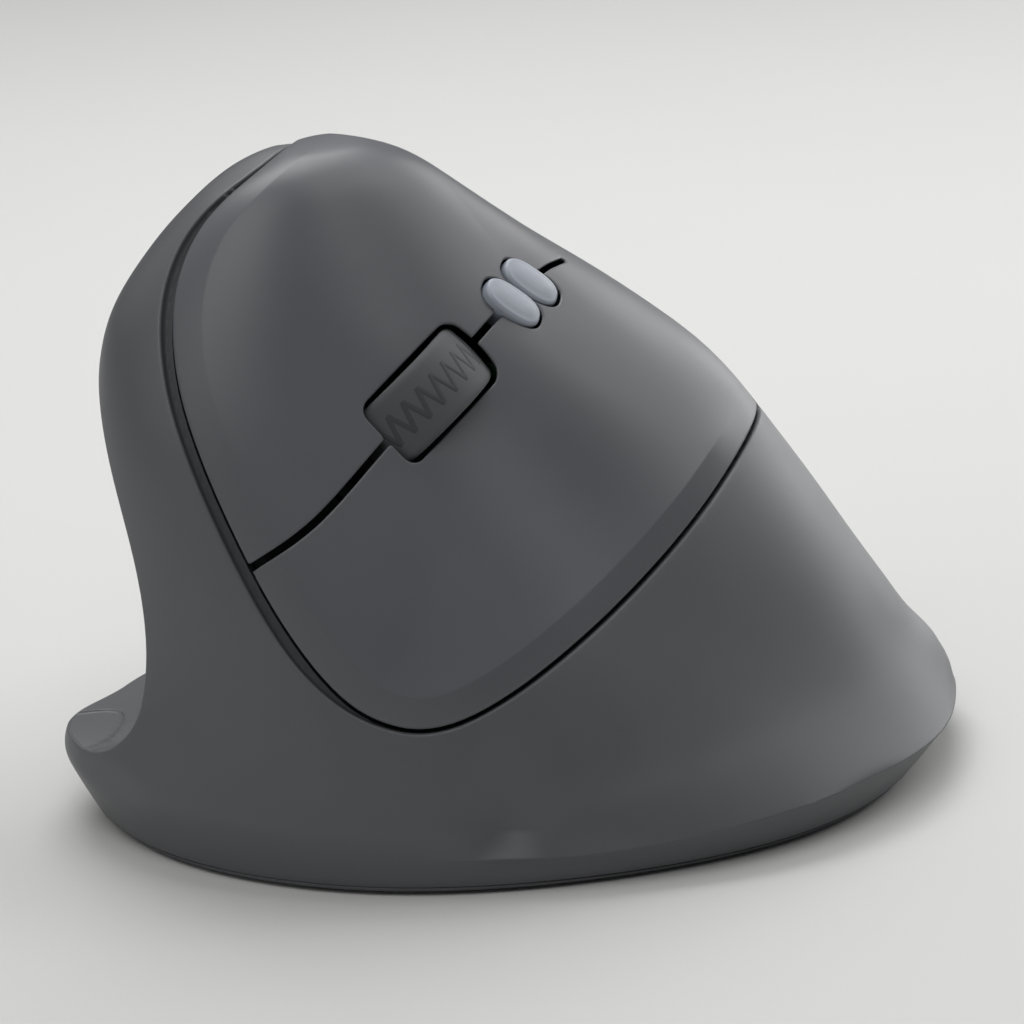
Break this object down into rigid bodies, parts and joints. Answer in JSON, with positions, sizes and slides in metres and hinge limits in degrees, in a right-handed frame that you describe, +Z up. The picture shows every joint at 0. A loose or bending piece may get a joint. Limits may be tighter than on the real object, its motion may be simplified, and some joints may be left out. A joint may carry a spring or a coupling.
{
  "type": "vertical ergonomic mouse",
  "caption": "Left-hand vertical computer mouse: steep sculpted grip with a split key panel, scroll wheel, pale DPI buttons, thumb scoop with shelf and a finger flange.",
  "frame": {"origin": "on the desk surface, under the middle of the outline", "axes": "+Z up, +Y towards the fingertips, +X towards the thumb side"},
  "size_m": [0.0832, 0.1056, 0.0776],
  "materials": {
    "shell": "fine moulded texture, satin",
    "panel": "soft satin paint",
    "base": "moulded, matt",
    "inner": "moulded, matt",
    "tyre": "moulded grip pattern",
    "pale": "satin",
    "button": "satin",
    "switch": "moulded",
    "natural": "unpainted moulding",
    "board": "solder mask",
    "steel": "zinc plated",
    "lens": "clear moulding",
    "cell": "shrink sleeve",
    "feet": "low friction sheet"
  },
  "bodies": {
    "case": {"main_shell": "shell", "base_plate": "base", "ridge_cover": "panel", "key_frame": "inner", "wheel_switch": "switch", "wheel_encoder": "switch", "upper_board": "board", "board_screws": "steel", "index_switch": "switch", "middle_switch": "switch", "dpi_board": "board", "dpi_switches": "switch", "thumb_board": "board", "thumb_switches": "switch", "main_board": "board", "controller_chip": "switch", "optical_sensor": "switch", "sensor_lens": "lens", "cable_sockets": "natural", "flat_cable": "natural", "battery": "cell", "battery_spring": "steel", "battery_plate": "steel", "power_switch": "steel", "receiver": "switch", "glide_feet": "feet", "base_screws": "steel"},
    "index_key": {"index_key": "panel"},
    "middle_key": {"middle_key": "panel"},
    "index_plunger": {"index_plunger": "natural"},
    "middle_plunger": {"middle_plunger": "natural"},
    "wheel_carriage": {"wheel_carriage": "inner", "wheel_axle": "steel"},
    "wheel": {"wheel_hub": "inner", "wheel_tyre": "tyre"},
    "dpi_front": {"dpi_front": "pale"},
    "dpi_rear": {"dpi_rear": "pale"},
    "forward_button": {"forward_button": "button"},
    "back_button": {"back_button": "button"},
    "battery_door": {"battery_door": "base"},
    "power_slider": {"power_slider": "switch"}
  },
  "joints": [
    {"name": "index_key_press", "type": "hinge", "parent": "case", "child": "index_key", "pos_m": [-0.0008, -0.003, 0.06399], "axis": [-0.5624, -0.6173, -0.5502], "range_deg": [0, 1], "stiffness_Nm_per_rad": 12},
    {"name": "middle_key_press", "type": "hinge", "parent": "case", "child": "middle_key", "pos_m": [-0.0008, -0.003, 0.06399], "axis": [-0.5624, -0.6173, -0.5502], "range_deg": [0, 1], "stiffness_Nm_per_rad": 12},
    {"name": "index_plunger_slide", "type": "slide", "parent": "case", "child": "index_plunger", "axis": [0.802, -0.2452, -0.5446], "range_m": [0, 0.00056]},
    {"name": "middle_plunger_slide", "type": "slide", "parent": "case", "child": "middle_plunger", "axis": [0.802, -0.2452, -0.5446], "range_m": [0, 0.00066]},
    {"name": "wheel_click", "type": "slide", "parent": "case", "child": "wheel_carriage", "axis": [0.802, -0.2452, -0.5446], "range_m": [0, 0.0005], "stiffness_N_per_m": 2000},
    {"name": "wheel_spin", "type": "hinge", "parent": "wheel_carriage", "child": "wheel", "pos_m": [0.00294, 0.01866, 0.0489], "axis": [0.5961, 0.3873, 0.7034], "continuous": true},
    {"name": "dpi_front_press", "type": "slide", "parent": "case", "child": "dpi_front", "axis": [0.7405, 0.0735, -0.668], "range_m": [0, 0.0004], "stiffness_N_per_m": 1500},
    {"name": "dpi_rear_press", "type": "slide", "parent": "case", "child": "dpi_rear", "axis": [0.7405, 0.0735, -0.668], "range_m": [0, 0.0004], "stiffness_N_per_m": 1500},
    {"name": "forward_button_press", "type": "slide", "parent": "case", "child": "forward_button", "axis": [-0.9157, -0.0692, 0.3959], "range_m": [0, 0.0004], "stiffness_N_per_m": 1500},
    {"name": "back_button_press", "type": "slide", "parent": "case", "child": "back_button", "axis": [-0.9058, -0.1509, 0.3959], "range_m": [0, 0.0004], "stiffness_N_per_m": 1500},
    {"name": "battery_door_slide", "type": "slide", "parent": "case", "child": "battery_door", "axis": [0, -1, 0], "range_m": [0, 0.012]},
    {"name": "power_slide", "type": "slide", "parent": "case", "child": "power_slider", "axis": [0, 1, 0], "range_m": [0, 0.003]}
  ],
  "couplings": [
    {"joint": "index_plunger_slide", "follows": "index_key_press", "m_per_rad": 0.03157},
    {"joint": "middle_plunger_slide", "follows": "middle_key_press", "m_per_rad": 0.03764}
  ]
}
